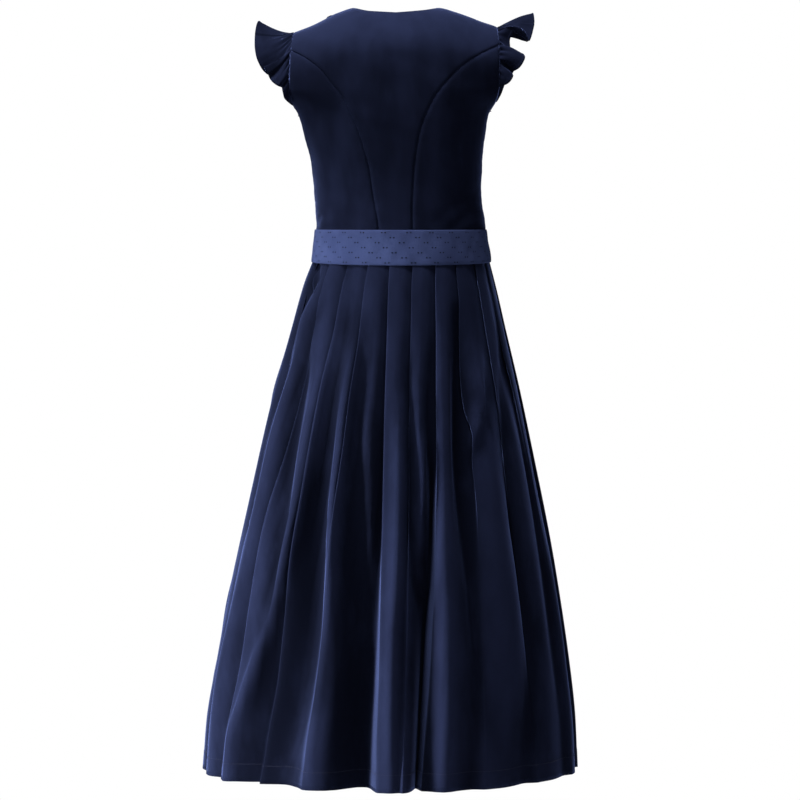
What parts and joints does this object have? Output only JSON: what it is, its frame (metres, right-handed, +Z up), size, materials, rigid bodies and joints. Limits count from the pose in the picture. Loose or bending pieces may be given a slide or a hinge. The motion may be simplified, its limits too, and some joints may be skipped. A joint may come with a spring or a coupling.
{
  "type": "dirndl",
  "caption": "Filled-out midi dirndl with princess-seamed velvet bodice, ruffled cap sleeves, knife-pleated velvet skirt and a cotton apron whose band crosses the waist",
  "frame": {"origin": "between the shoulders, at the height of the shoulder seams' neck ends, where the wearer's shoulders carry the dress", "axes": "+Z up, the front faces -Y, +X is the wearer's left"},
  "size_m": [0.5857, 0.51, 1.178],
  "materials": {
    "bodice_velvet": "cotton velvet, deep navy, short nap with a blue sheen at the turns",
    "sleeve_velvet": "the same velvet, gathered, with a narrow rolled hem",
    "skirt_velvet": "the same velvet, knife-pleated, with a stitched hem",
    "apron_cotton": "plain-woven cotton, slate navy, with woven pairs of small dark dots",
    "button_horn": "plain dark navy dome"
  },
  "bodies": {
    "root": {"bodice_back_centre": "bodice_velvet", "bodice_back_side_left": "bodice_velvet", "bodice_back_side_right": "bodice_velvet", "bodice_front_left": "bodice_velvet", "bodice_front_right": "bodice_velvet", "bodice_front_side_left": "bodice_velvet", "bodice_front_side_right": "bodice_velvet", "sleeve_ruffle_left": "sleeve_velvet", "sleeve_ruffle_right": "sleeve_velvet", "skirt_back": "skirt_velvet", "skirt_front": "skirt_velvet", "apron_waistband": "apron_cotton", "apron_panel": "apron_cotton", "button_1": "button_horn", "button_2": "button_horn", "button_3": "button_horn", "button_4": "button_horn", "button_5": "button_horn", "button_6": "button_horn", "button_7": "button_horn"}
  },
  "joints": []
}
